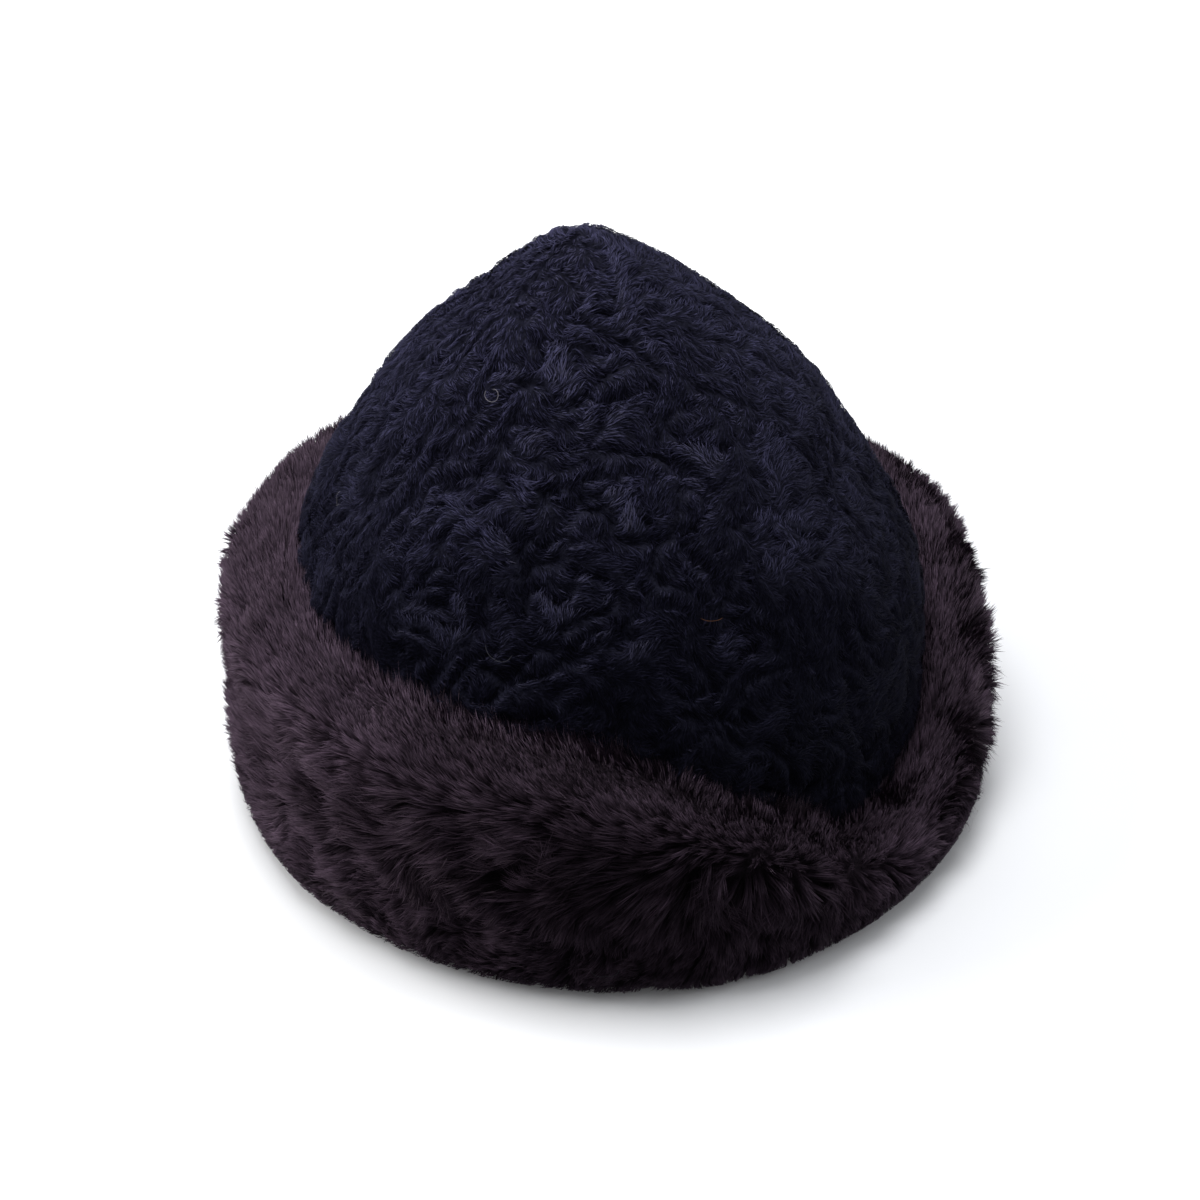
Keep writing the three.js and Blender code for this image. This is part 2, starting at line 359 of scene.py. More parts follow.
class Shader:
    """A node material with a Principled shader and a few helpers for its nodes."""

    def __init__(self, name, **sockets):
        self.material = bpy.data.materials.new(name)
        self.material.use_nodes = True
        self.nodes = self.material.node_tree.nodes
        self.links = self.material.node_tree.links
        self.surface = self.nodes["Principled BSDF"]
        for key, value in sockets.items():
            socket = key.replace("_", " ").title().replace("Ior", "IOR")
            self.surface.inputs[socket].default_value = value

    def node(self, kind, inputs=(), **settings):
        """A new node, whose inputs are values or other nodes' outputs."""
        made = self.nodes.new(kind)
        for setting, value in settings.items():
            setattr(made, setting, value)
        for socket, value in dict(inputs).items():
            if isinstance(value, bpy.types.NodeSocket):
                self.links.new(value, made.inputs[socket])
            else:
                made.inputs[socket].default_value = value
        return made

    def place(self):
        """Where the point is in the hat's frame."""
        return self.node("ShaderNodeTexCoord").outputs["Object"]

    def noise(self, size, detail=3.0):
        """Patches of about a size, in the hat's frame."""
        inputs = {"Scale": 1 / size, "Detail": detail, "Vector": self.place()}
        return self.node("ShaderNodeTexNoise", inputs).outputs["Fac"]

    def ramp(self, value, *stops):
        """Colours blended by a value, from stops that each have a place and a colour."""
        made = self.node("ShaderNodeValToRGB", {"Fac": value})
        ramp = made.color_ramp
        while len(ramp.elements) < len(stops):
            ramp.elements.new(1.0)
        for element, (place, colour) in zip(ramp.elements, stops):
            element.position, element.color = place, (*colour, 1)
        return made.outputs["Color"]

    def range(self, value, low, high, start=0.0, end=1.0):
        """Low where the value is start, and high where it is end."""
        inputs = {"Value": value, "From Min": start, "From Max": end, "To Min": low, "To Max": high}
        return self.node("ShaderNodeMapRange", inputs).outputs["Result"]

    def times(self, colour, factor):
        inputs = {0: colour, "Scale": factor}
        return self.node("ShaderNodeVectorMath", inputs, operation="SCALE").outputs["Vector"]

    def product(self, one, other):
        return self.node("ShaderNodeMath", {0: one, 1: other}, operation="MULTIPLY").outputs[0]

    def finish(self, colour, roughness, height=None, depth=0.0):
        """The material, with its colour, roughness and bump joined to the shader."""
        self.links.new(colour, self.surface.inputs["Base Color"])
        self.links.new(roughness, self.surface.inputs["Roughness"])
        if height is not None:
            inputs = {"Height": height, "Distance": depth, "Strength": 1.0}
            bump = self.node("ShaderNodeBump", inputs)
            self.links.new(bump.outputs["Normal"], self.surface.inputs["Normal"])
        return self.material


def strand_material(name, look, sockets):
    """Strands painted darker at the root than at the tip as painted shade deep in the fur, each a
    little lighter or darker than the next, and for the pile painted lighter higher up as painted
    light from above.
    """
    shader = Shader(name, **sockets)
    uv = shader.node("ShaderNodeUVMap", uv_map="OFBake").outputs["UV"]
    parts = shader.node("ShaderNodeSeparateXYZ", {0: uv})
    variant, along = parts.outputs["X"], parts.outputs["Y"]
    light = shader.product(
        shader.range(variant, *look["tones"]),
        shader.range(shader.noise(look["patch_size"]), *look["patches"], *PATCH_NOISE),
    )
    # painted light from above: the pile is painted lighter higher up the crown
    if "fade" in look:
        height = shader.node("ShaderNodeSeparateXYZ", {0: shader.place()}).outputs["Z"]
        fade = shader.range(height, *look["fade"], *look["fade_heights"])
        light = shader.product(light, fade)
    # the colours run from root to tip, darker at the root: painted shade deep in the fur
    stops = zip(look["places"], look["colours"])
    colour = shader.times(shader.ramp(along, *stops), light)
    return shader.finish(colour, shader.range(variant, *look["roughness"]))


PILE_LOOK = {
    "places": (0.0, 0.5, 1.0),  # from root to tip, darker at the root as painted shade deep in the pile
    "colours": ((0.0023, 0.0023, 0.005), (0.0064, 0.0062, 0.0133), (0.015, 0.0146, 0.0295)),
    "tones": (0.2, 1.8),  # how light the darkest and the lightest strands are
    "patches": (0.75, 1.25),
    "patch_size": 25 * MM,
    "fade": (0.62, 3.4),  # painted light from above: how light the pile is painted at two heights
    "fade_heights": (75 * MM, 182 * MM),
    "roughness": (0.45, 0.65),
}
PILE_SOCKETS = {
    "specular_ior_level": 0.25,
    "specular_tint": (0.64, 0.61, 1, 1),
    "sheen_weight": 0.02,
    "sheen_roughness": 0.4,
    "sheen_tint": (0.5, 0.52, 0.85, 1),
}
FUR_LOOK = {
    # from root to tip, darker at the root as painted shade deep in the fur
    "places": (0.0, 0.55, 1.0),
    "colours": ((0.0045, 0.003, 0.0045), (0.026, 0.0175, 0.026), (0.076, 0.052, 0.075)),
    "tones": (0.2, 2.0),
    "patches": (0.8, 1.25),
    "patch_size": 30 * MM,
    "roughness": (0.6, 0.8),
}
FUR_SOCKETS = {
    "specular_ior_level": 0.08,
    "specular_tint": (1, 0.75, 0.95, 1),
    "sheen_weight": 0.12,
    "sheen_roughness": 0.4,
    "sheen_tint": (1, 0.75, 0.95, 1),
}


def skin_material(name):
    """What shows between the strands: short dense underfur."""
    shader = Shader(name, specular_ior_level=0.08)
    grain = shader.noise(SKIN_GRAIN, 4.0)
    colour = shader.ramp(grain, *zip(PATCH_NOISE, SKIN_COLOURS[name]))
    return shader.finish(colour, shader.range(grain, *SKIN_ROUGHNESS), grain, SKIN_GRAIN_DEPTH)


# Crown

CURLS = waves(11, 17 * MM)  # creases run where the field is zero
SMALL_CURLS = waves(12, 9 * MM)
ROLLS = waves(19, 12 * MM)
CURL_DEPTH = 2.4 * MM
SMALL_CURL_DEPTH = 1.3 * MM
CURL_CREASE = 0.45  # how wide a crease is, in its field's values
SMALL_CURL_CREASE = 0.5
CURL_BREAKS = waves(13, 40 * MM)  # creases fade where this field is low
SMALL_BREAKS = waves(14, 25 * MM)
CURL_FADE = -1.0, 0.6  # the field's values between which they fade
SMALL_CURL_FADE = -0.9, 0.5
CURL_LEAST = 0.35  # the share of its depth that a faded crease keeps
SMALL_CURL_LEAST = 0.25
CRUMPLE = waves(16, 5.5 * MM)
CRUMPLE_DEPTH = 0.2 * MM
DENTS = waves(15, 55 * MM)
DENT_DEPTH = 0.8 * MM
WARP = [waves(seed, 26 * MM) for seed in (21, 22, 23)]
CURL_WARP = 3 * MM
ROLL_WARP = 0.5  # how much of the curls' warp the rolls have
ROLL_STRETCH = 0.3  # how fast the rolls change up the slope, against round the crown
ROLL_TURN = math.radians(228)  # the side where the curls run together into rolls
ROLL_EDGE = 0.72, 0.97  # cosines of how far from it curls become rolls
SWIRL = waves(17, 45 * MM)
SMALL_SWIRL = waves(18, 16 * MM)
SWIRL_TURN = 0.8  # radians that the pile turns with the field
SMALL_SWIRL_TURN = 0.4
PILE_TURN = -0.9  # radians from level that the pile lies on the whole, down the slope
CREASE_TURN = 0.7  # radians that the pile turns to either side of a crease
SMALL_CREASE_TURN = 0.4
CREASE_TURN_WIDTH = 0.3
SMALL_CREASE_TURN_WIDTH = 0.4
PILE_STRAY = 0.16  # radians
PILE_LENGTH = 3.2 * MM
PILE_WIDTH = 0.28 * MM
PILE_STRANDS = 60_000  # in each half
PILE_LEVEL = 1.6 * MM  # of the curls' tops, off the crown's outline
PILE_RISES = {  # shares along a strand, and how far it is off the curls' surface there
    "reach": (0.0, 0.5, 1.0),
    "rise": (-0.5 * MM, 0.45 * MM, 0.6 * MM),
}
RISE_SPREAD = 0.6, 1.5
PILE_FOLLOW = 0.75  # how closely a strand follows the curls' surface
PILE_HIDDEN = 14 * MM  # how far under the rim the pile begins
NAP_LEAN = 0.45  # how much the way that the pile lies changes how light it looks
PILE_SHADE_SPREAD = 0.15
PILE_SLOPE_STEP = 0.8 * MM
STRAND_SPREAD = 0.7, 1.3  # of lengths and widths, against the usual ones
FACE_UP = 0.35  # how much the strands' flat sides turn upwards
FACE_SPREAD = 0.3
CROWN_SKIN = {"turns": 500, "rows": 165, "hidden_rows": 6, "lining_rows": 8}
CROWN_SKIN_DEPTH = 0.25 * MM  # under the curls' surface
TIP_SHARE = 0.998  # where the skin's last ring lies, under the tip
LINING_TIP_SHARE = 0.99
HIDDEN_SHARE = 0.1  # the part of the crown that stands in the cuff


def curl_fields(points):
    """Two fields whose zero lines are the creases between large and small curls."""
    warped = points + CURL_WARP * np.stack([warp(points) for warp in WARP], -1)
    middle = lean_at(points[..., 2])
    turn = np.arctan2(points[..., 0] - middle[..., 0], middle[..., 1] - points[..., 1])
    rolled = CROWN_RADIUS * np.stack([np.sin(turn), -np.cos(turn), np.zeros_like(turn)], -1)
    rolled[..., 2] = ROLL_STRETCH * points[..., 2]
    rolls = smooth_step(*ROLL_EDGE, np.cos(turn - ROLL_TURN))
    large = mix(CURLS(warped), ROLLS(rolled + ROLL_WARP * (warped - points)), rolls)
    return large, SMALL_CURLS(warped)


def crown_relief(points):
    """How far the curls' surface lies off the crown's outline: narrow creases between puffs."""
    large, small = curl_fields(points)
    deep = mix(CURL_LEAST, 1.0, smooth_step(*CURL_FADE, CURL_BREAKS(points)))
    fine = mix(SMALL_CURL_LEAST, 1.0, smooth_step(*SMALL_CURL_FADE, SMALL_BREAKS(points)))
    return (
        PILE_LEVEL
        - CURL_DEPTH * deep * crease(large, CURL_CREASE)
        - SMALL_CURL_DEPTH * fine * crease(small, SMALL_CURL_CREASE)
        + CRUMPLE_DEPTH * CRUMPLE(points)
        + DENT_DEPTH * DENTS(points)
    )


def pile_direction(points):
    """The angle at which the pile lies, from level to down the slope, turning at each crease."""
    large, small = curl_fields(points)
    return (
        PILE_TURN
        + SWIRL_TURN * SWIRL(points)
        + SMALL_SWIRL_TURN * SMALL_SWIRL(points)
        + CREASE_TURN * np.tanh(large / CREASE_TURN_WIDTH)
        + SMALL_CREASE_TURN * np.tanh(small / SMALL_CREASE_TURN_WIDTH)
    )


def make_crown_skin():
    """The crown's hollow wall: curled outside, plain inside, and closed at both tips."""
    turns, rows, hidden_rows, lining_rows = CROWN_SKIN.values()
    seen_shares = np.linspace(TIP_SHARE, HIDDEN_SHARE, rows)
    hidden_shares = np.linspace(HIDDEN_SHARE, 0, hidden_rows)[1:]
    turn, share = np.meshgrid(
        np.arange(turns) * FULL_TURN / turns, [*seen_shares, *hidden_shares]
    )
    base, _, _, _ = crown_wall.at(turn, share)
    relief = crown_relief(base.reshape(-1, 3)).reshape(base.shape[:2]) - CROWN_SKIN_DEPTH
    outside = crown_wall.at(turn, share, relief)[0]
    lining_shares = np.linspace(0, LINING_TIP_SHARE, lining_rows)
    lining_turn, lining_share = np.meshgrid(turn[0], lining_shares)
    inside = crown_wall.at(lining_turn, lining_share, np.full(lining_turn.shape, -CROWN_WALL))[0]
    rings = np.concatenate([outside, inside])
    ends = np.array([outside[0].mean(0), inside[-1].mean(0)])
    points = np.vstack([rings.reshape(-1, 3), ends])
    wall_faces = ring_faces(len(rings), turns, closed=False)[:, ::-1]
    side = np.arange(turns)
    after = (side + 1) % turns
    tip = len(points) - 2
    last = (len(rings) - 1) * turns
    tip_faces = np.column_stack([np.full(turns, tip), side, after])
    lining_tip_faces = np.column_stack([np.full(turns, tip + 1), last + after, last + side])
    faces = np.vstack([wall_faces, tip_faces, lining_tip_faces])
    return mesh_piece("crown_skin", points, faces, skin_material("crown_skin"))


def pile_paths(turn, share, rng):
    """Strands of the crown's pile: each lies along the surface and rises a little to its tip."""
    base, round_it, along, normal = crown_wall.at(turn, share)
    angle = pile_direction(base) + rng.normal(0, PILE_STRAY, len(turn))
    heading = np.cos(angle)[:, None] * round_it + np.sin(angle)[:, None] * along
    length = PILE_LENGTH * rng.uniform(*STRAND_SPREAD, len(turn))
    root_depth = crown_relief(base)
    paths = []
    for reach, rise in zip(*PILE_RISES.values()):
        place = base + heading * (length * reach)[:, None]
        depth = mix(root_depth, crown_relief(place), PILE_FOLLOW * reach)
        lift = rise * rng.uniform(*RISE_SPREAD, len(turn))
        paths.append(place + normal * (depth + lift)[:, None])
    shading = relief_normal(crown_relief, PILE_SLOPE_STEP, base, round_it, along, normal)
    shading = unit(shading) + NAP_LEAN * heading
    shading = unit(shading + rng.normal(0, PILE_SHADE_SPREAD, heading.shape))
    return np.stack(paths, axis=1), heading, normal, shading


def face_out(heading, normal, rng):
    """Directions square to the strands' headings, facing unevenly out of the fur."""
    wanted = normal + np.array([0, 0, FACE_UP]) + FACE_SPREAD * rng.normal(size=normal.shape)
    return unit(wanted - (wanted * heading).sum(-1, keepdims=True) * heading)


def make_crown_pile(name, seed, first_turn, material):
    """The pile on one half of the crown, above where the cuff hides it."""

    def wanted(turn, share):
        height = crown_wall.read(turn, share)[1]
        half = np.mod(turn - first_turn, FULL_TURN) < math.pi
        return half & (height > rim_height(turn) - PILE_HIDDEN)

    turn, share = scatter(crown_wall, PILE_STRANDS, seed, wanted)
    rng = np.random.default_rng(seed)
    paths, heading, normal, shading = pile_paths(turn, share, rng)
    facing = face_out(heading, normal, rng)
    widths = PILE_WIDTH * rng.uniform(*STRAND_SPREAD, (len(turn), 1))
    variant = rng.random(len(turn))
    return strand_piece(name, paths, widths, facing, shading, variant, material)


# Cuff

FUR_ROOT = 3.5 * MM  # how deep in the fur's body its skin lies
GROUND_ROOT = 0.2 * MM  # the same at the ground, where the fur is pressed flat
GROUND_ROOT_HEIGHT = 18 * MM
FUR_STRANDS = 83_000  # in each third
FUR_WIDTH = 0.3 * MM
FUR_LENGTH = 7.5 * MM
LOCK_LENGTH = 14 * MM  # under the rim, where the fur hangs in wavy locks
LOCK_HEIGHTS = 0.3, 0.55  # shares of the rim's height between which the locks begin
RIM_FUR_LENGTH = 6 * MM
FOOT_FUR = 0.6  # how long the fur is at the ground, against higher up
FOOT_FUR_HEIGHT = 14 * MM
INNER_FILL = 1.0  # how far the rim's inner fur fills the groove beside the crown
CROWN_GAP = 1 * MM
FUR_STRAY = 0.09
LENGTH_SPREAD = 0.8, 1.15
FLOW = {  # degrees round, the way the fur lies: sweep is towards +X from the front, rise is up
    "turn": (0, 40, 90, 140, 180, 214, 260, 296, 310, 322, 340, 360),
    "sweep": (0.35, 0.5, 0.5, 0.1, -0.6, -1.0, -1.0, -0.95, -0.8, -0.45, 0.0, 0.35),
    "rise": (-0.8, -0.5, -0.6, -0.9, -0.6, -0.2, -0.15, -0.35, -0.6, -0.9, -1.0, -0.8),
    "shag": (0.7, 0.7, 0.6, 0.5, 0.4, 0.25, 0.3, 0.6, 0.6, 0.6, 0.6, 0.7),
    "locks": (0.3, 0.3, 0.3, 0.3, 0.3, 0.1, 0.5, 1.0, 1.0, 0.8, 0.5, 0.3),
}
UNEVEN = {  # how much each thing varies in sleek fur, and how much more in shaggy fur
    "turn": (0.3, 0.35),  # radians of wide bends
    "wave": (0.2, 0.5),  # radians of short bends
    "clump": (0.4, 0.4),  # radians between clumps
    "lift": (0.0, 0.6),
    "fan": (0.3, 0.3),
    "lean": (0.2, 0.35),
    "length": (0.15, 0.35),
}
FLOW_TURN = waves(31, 34 * MM)
FLOW_WAVE = waves(32, 15 * MM)
LYING_LIFT = 0.8, 0.42  # how steeply plain fur and locks rise off the skin
INNER_SLOPE = -0.15, 0.4  # how steeply the rim falls to the crown where its inner fur begins
STAND_SLOPE = -0.1, 0.85  # how far the rim has rounded over where its fur comes to stand up
STAND_SHARE = 0.2, 0.5
STANDING_FAN = 0.4  # how much of its sweep standing fur keeps
STANDING_LEAN = 0.3, -0.12  # outwards on the rim, and inwards beside the crown

CLUMP = 2.4 * MM
TUFT = 8 * MM
CLUMP_MARGIN = 0.1  # of a cell, that a clump's middle keeps from its edges
CLUMP_CHANCE, TUFT_CHANCE = 0.65, 0.35  # how much of a strand's lie each of them settles
CLUMP_DRAW = 0.55, 0.22  # how much strands draw together where they lie and where they stand
LOCK_DRAW = 0.3  # how much more they do in locks
TUFT_DRAW = 0.5
DRAW_CURVE = 0.8
FUR_REACHES = 0.0, 0.6, 1.0  # shares along a strand where its points are
LIE_CURVE = 1.25  # how lying strands bow: out of the skin first, and then along it
RISE_SLOPE, RISE_BEND, RISE_CURVE = 1.45, 0.45, 2.5

FUR_SWELL = waves(33, 24 * MM)
FUR_SWELL_DEPTH = 0.9 * MM
FUR_RIPPLES = waves(34, 9 * MM, flat=(0, 0, 1.2))
FUR_RIPPLE_CREASE = 0.45
FUR_RIPPLE_DEPTH = 1.6 * MM
RIPPLE_BREAKS = waves(35, 28 * MM)
RIPPLE_FADE = -0.9, 0.8
LOCK_LINES = waves(36, 5.5 * MM, flat=(0, 0, 2.4))
LOCK_LINE_CREASE = 0.4
LOCK_LINE_DEPTH = 1.1 * MM
LOCK_LINE_WAVE = 2 * MM
HOLLOWS = {  # where the fur is parted or pressed in: degrees round, and millimetres
    "turn": (249, 260.7, 271.7, 275.5, 291.7, 31, 74, 118, 163),
    "height": (80, 52, 45, 31, 70, 48, 60, 40, 66),
    "size": (5, 4.2, 4, 4.5, 5, 6, 7, 6, 7),
    "depth": (2.5, 8.0, 3.0, 6.0, 3.0, 2.0, 2.5, 2.0, 2.5),
}

FUR_LEAN = 0.2  # how much the way that the fur lies changes how light it looks
CLUMP_ROUND = 0.7  # how much a clump's edges turn away from its middle
FUR_LIT_UP = 0.2, 0.9  # how much the fur is lit as if it faced up, and how much more inside
FUR_SHADE_SPREAD = 0.12
FUR_SLOPE_STEP = 1 * MM
CLUMP_TONE = 0.5, 0.2  # how alike in tone a clump's strands are where they lie and stand
LOCK_TONE = 0.25  # how much more alike they are in locks
STANDING_SHADE = 0.3  # painted shade: how much darker fur that stands up is painted
LOCK_EDGE_SHADE = 0.5  # painted shade: how much darker a lock is painted at its edges, between locks
CLUMP_EDGE = 0.6  # how far out a clump's edge is, in its size

GROUND_LIFT = 0.3 * MM, 1.2 * MM  # least height of strands, and how much higher it may be
FOOT_FRINGE = 0.2, 1.9  # millimetres that strands may pass the foot's round, and how many more
CUFF_SKIN = {"turns": 240, "rows": 60}
FOLD_SECTION = {  # inside the fold that the crown stands in: off the crown's edge, and height
    "off": (1 * MM, -CROWN_WALL, -CROWN_WALL),
    "height": (CUFF_FOLD, CUFF_FOLD, 0.6 * MM),
}
FUR_BEHIND = 5 * MM  # how far inside the crown's surface roots may lie
FUR_LOWEST_ROOT = 3 * MM

flow_line = smooth_line(FLOW)
UP = np.array([0, 0, 1.0])


def lock_share(turn, height):
    """How far the fur hangs in long locks at a place, from 0 to 1."""
    degrees = np.degrees(np.mod(turn, FULL_TURN))
    locks = np.interp(degrees, flow_line[:, 0], flow_line[:, 4])
    return locks * smooth_step(*LOCK_HEIGHTS, height / rim_height(turn))


def turn_of(points):
    """The turn at which points lie round the hat's middle."""
    return np.arctan2(points[..., 0], -points[..., 1])


def fur_relief(points):
    """How far the fur's surface swells: wide low lumps, short level creases and a few hollows."""
    ripples = crease(FUR_RIPPLES(points), FUR_RIPPLE_CREASE)
    ripples = ripples * smooth_step(*RIPPLE_FADE, RIPPLE_BREAKS(points))
    waved = points + LOCK_LINE_WAVE * FLOW_WAVE(points)[..., None] * UP
    lines = lock_share(turn_of(points), points[..., 2])
    lines = lines * crease(LOCK_LINES(waved), LOCK_LINE_CREASE)
    relief = FUR_SWELL_DEPTH * FUR_SWELL(points)
    relief = relief - FUR_RIPPLE_DEPTH * ripples - LOCK_LINE_DEPTH * lines
    for turn, height, size, depth in zip(*HOLLOWS.values()):
        turn = math.radians(turn)
        level = (CUFF_SIDE * math.sin(turn), -CUFF_SIDE * math.cos(turn))
        far = np.linalg.norm(points - np.array([*level, height * MM]), axis=-1)
        relief = relief - depth * MM * np.exp(-((far / (size * MM)) ** 2))
    return relief


def cuff_skin_depth(height):
    """The skin comes nearer to the fur's outside at the ground, where the fur is pressed flat."""
    return -mix(GROUND_ROOT, FUR_ROOT, smooth_step(0, GROUND_ROOT_HEIGHT, height))


def make_cuff_skin():
    """The fur's body, with the fold inside it that the crown's edge stands in."""
    turns, rows = CUFF_SKIN.values()
    turn, share = np.meshgrid(np.arange(turns) * FULL_TURN / turns, np.linspace(0, 1, rows))
    height = cuff_wall.read(turn, share)[1]
    outside = cuff_wall.at(turn, share, cuff_skin_depth(height))[0]
    outside = clear_of_crown(outside, CROWN_GAP)
    outside[..., 2] = np.maximum(outside[..., 2], GROUND_ROOT)
    inside = []
    for off, level in zip(*FOLD_SECTION.values()):
        radius = crown_line[0, 0] + off
        points = [radius * np.sin(turn[0]), -radius * np.cos(turn[0]), np.full(turns, level)]
        inside.append(np.stack(points, -1))
    rings = np.concatenate([outside, np.array(inside)])
    faces = ring_faces(len(rings), turns, closed=True)
    return mesh_piece("cuff_skin", rings.reshape(-1, 3), faces, skin_material("cuff_skin"))


class Clumps:
    """Random middles, one in each cell of a grid over the cuff, that strands draw towards."""

    def __init__(self, seed, size):
        self.size = size
        self.round = int(round(FULL_TURN * CUFF_SIDE / size))
        self.up = int(cuff_wall.lengths.max() / size) + 3
        rng = np.random.default_rng(seed)
        cells = (self.round, self.up, 2)
        self.jitter = rng.uniform(CLUMP_MARGIN, 1 - CLUMP_MARGIN, cells)
        self.chance = rng.random((self.round, self.up, 4))

    def nearest(self, turn, share):
        """The nearest middle's turn and share, and its own random numbers."""
        across = turn / FULL_TURN * self.round
        up = share * cuff_wall.length(turn) / self.size
        best = np.full(len(turn), np.inf)
        found = np.zeros((len(turn), 2))
        chance = np.zeros((len(turn), 4))
        for step_across in (-1, 0, 1):
            for step_up in (-1, 0, 1):
                column = np.floor(across).astype(int) + step_across
                row = np.clip(np.floor(up).astype(int) + step_up, 0, self.up - 1)
                middle = np.stack([column, row], -1) + self.jitter[column % self.round, row]
                distance = (middle[:, 0] - across) ** 2 + (middle[:, 1] - up) ** 2
                nearer = distance < best
                best = np.where(nearer, distance, best)
                found[nearer] = middle[nearer]
                chance[nearer] = self.chance[column % self.round, row][nearer]
        middle_turn = found[:, 0] / self.round * FULL_TURN
        return middle_turn, found[:, 1] * self.size / cuff_wall.length(middle_turn), chance


clumps = Clumps(41, CLUMP)
tufts = Clumps(42, TUFT)


def uneven(kind, shag):
    """How much a thing varies in fur of a shagginess."""
    sleek, more = UNEVEN[kind]
    return sleek + more * shag


def inner_share(up):
    """How far the fur is over the rim and beside the crown, from how the section rises there."""
    return smooth_step(*INNER_SLOPE, -up)


def fur_heading(turn, share, chance):
    """Which way the fur lies at a place, as sweep, rise and lift off the skin, and its length."""
    base, _, _, _ = cuff_wall.at(turn, share)
    _, _, out, up = cuff_wall.read(turn, share)
    degrees = np.degrees(np.mod(turn, FULL_TURN))
    sweep, rise, shag = [
        np.interp(degrees, flow_line[:, 0], column) for column in flow_line.T[1:4]
    ]
    locks = lock_share(turn, base[:, 2])
    bend = uneven("turn", shag) * FLOW_TURN(base) + uneven("wave", shag) * FLOW_WAVE(base)
    bend = bend + uneven("clump", shag) * (chance[:, 0] - 0.5)
    sweep, rise = (
        sweep * np.cos(bend) - rise * np.sin(bend),
        sweep * np.sin(bend) + rise * np.cos(bend),
    )
    lift = mix(*LYING_LIFT, locks) + uneven("lift", shag) * (chance[:, 1] - 0.5)
    lying = np.stack([sweep, rise, lift], -1)
    inner = inner_share(up)
    fan = STANDING_FAN * sweep + uneven("fan", shag) * (chance[:, 2] - 0.5)
    lean = mix(*STANDING_LEAN, inner) + uneven("lean", shag) * (chance[:, 1] - 0.5)
    standing = np.stack([fan, up + lean * out, -out + lean * up], -1)
    stand = smooth_step(*STAND_SLOPE, -out) * smooth_step(*STAND_SHARE, share)
    stand = np.maximum(stand, inner)
    heading = unit(mix(unit(lying), unit(standing), stand[:, None]))
    short = mix(FOOT_FUR, 1.0, smooth_step(0, FOOT_FUR_HEIGHT, base[:, 2]))
    length = short * mix(mix(FUR_LENGTH, LOCK_LENGTH, locks), RIM_FUR_LENGTH, stand)
    length = length + INNER_FILL * inner * (rim_height(turn) - LOCK_LIFT - base[:, 2])
    varied = mix(uneven("length", shag), UNEVEN["length"][0], stand)
    length = length * (1 + varied * (chance[:, 3] - 0.5))
    return heading, length, stand, locks * (1 - stand)


def inside_foot(paths, rng):
    """The strands, kept off the ground and from spreading out past the foot's round."""
    count = len(paths)
    ground = GROUND_LIFT[0] + GROUND_LIFT[1] * rng.random((count, 1))
    height = np.maximum(paths[..., 2], ground)
    radius = np.linalg.norm(paths[..., :2], axis=-1)
    outside = cuff_wall.fields[len(cuff_wall.fields) // 2]
    rising = np.arange(len(outside)) < np.argmax(outside[:, 0])
    most = np.interp(height, outside[rising, 1], outside[rising, 0])
    most = most + foot_spread(turn_of(paths))
    most = most + (FOOT_FRINGE[0] + FOOT_FRINGE[1] * rng.random((count, 1))) * MM
    most = np.where(height < FOOT_DROP, most, np.inf)
    level = paths[..., :2] * (np.minimum(radius, most) / radius)[..., None]
    return np.concatenate([level, height[..., None]], axis=-1)


def fur_paths(turn, share, rng):
    """Strands of the cuff's fur, drawn together into clumps and these into tufts."""
    clump_turn, clump_share, chance = clumps.nearest(turn, share)
    tuft_turn, tuft_share, tuft_chance = tufts.nearest(clump_turn, clump_share)
    drawn = CLUMP_CHANCE * chance + TUFT_CHANCE * tuft_chance
    heading, length, stand, locks = fur_heading(clump_turn, clump_share, drawn)
    depth = cuff_skin_depth(cuff_wall.read(turn, share)[1])
    root, _, _, normal = cuff_wall.at(turn, share, depth)
    clump_root = cuff_wall.at(clump_turn, clump_share, depth)[0]
    tuft_root = cuff_wall.at(tuft_turn, tuft_share, depth)[0]
    _, round_it, along, out = cuff_wall.at(clump_turn, clump_share)
    heading = heading + rng.normal(0, FUR_STRAY, heading.shape)
    level = heading[:, :1] * round_it + heading[:, 1:2] * along
    length = length * rng.uniform(*LENGTH_SPREAD, len(turn))
    swell = fur_relief(root)
    together = mix(*CLUMP_DRAW, stand) + LOCK_DRAW * locks
    paths = []
    for reach in FUR_REACHES:
        place = root + (together * reach**DRAW_CURVE)[:, None] * (clump_root - root)
        place = place + (TUFT_DRAW * together * reach)[:, None] * (tuft_root - clump_root)
        eased = mix(reach**LIE_CURVE, reach, stand)
        lifted = mix(RISE_SLOPE * reach - RISE_BEND * reach**RISE_CURVE, reach, stand)
        place = place + level * (length * eased)[:, None]
        place = place + out * (heading[:, 2] * length * lifted + swell * reach)[:, None]
        paths.append(place)
    paths = inside_foot(clear_of_crown(np.stack(paths, axis=1), CROWN_GAP), rng)
    inner = inner_share(cuff_wall.read(clump_turn, clump_share)[3])
    shading = relief_normal(fur_relief, FUR_SLOPE_STEP, root, round_it, along, out)
    shading = shading + FUR_LEAN * unit(level) + CLUMP_ROUND / CLUMP * (root - clump_root)
    shading = shading + (FUR_LIT_UP[0] + FUR_LIT_UP[1] * inner)[:, None] * UP
    shading = unit(shading + rng.normal(0, FUR_SHADE_SPREAD, level.shape))
    alike = mix(*CLUMP_TONE, stand) + LOCK_TONE * locks
    variant = mix(rng.random(len(turn)), chance[:, 3], alike)
    # painted shade: standing fur and the edges of locks are painted darker through the strands'
    # tones
    edge = np.linalg.norm(root - clump_root, axis=-1) / (CLUMP_EDGE * CLUMP)
    shade = STANDING_SHADE * stand * (1 - inner) + LOCK_EDGE_SHADE * locks * np.clip(edge, 0, 1)
    return paths, normal, shading, variant * (1 - shade)


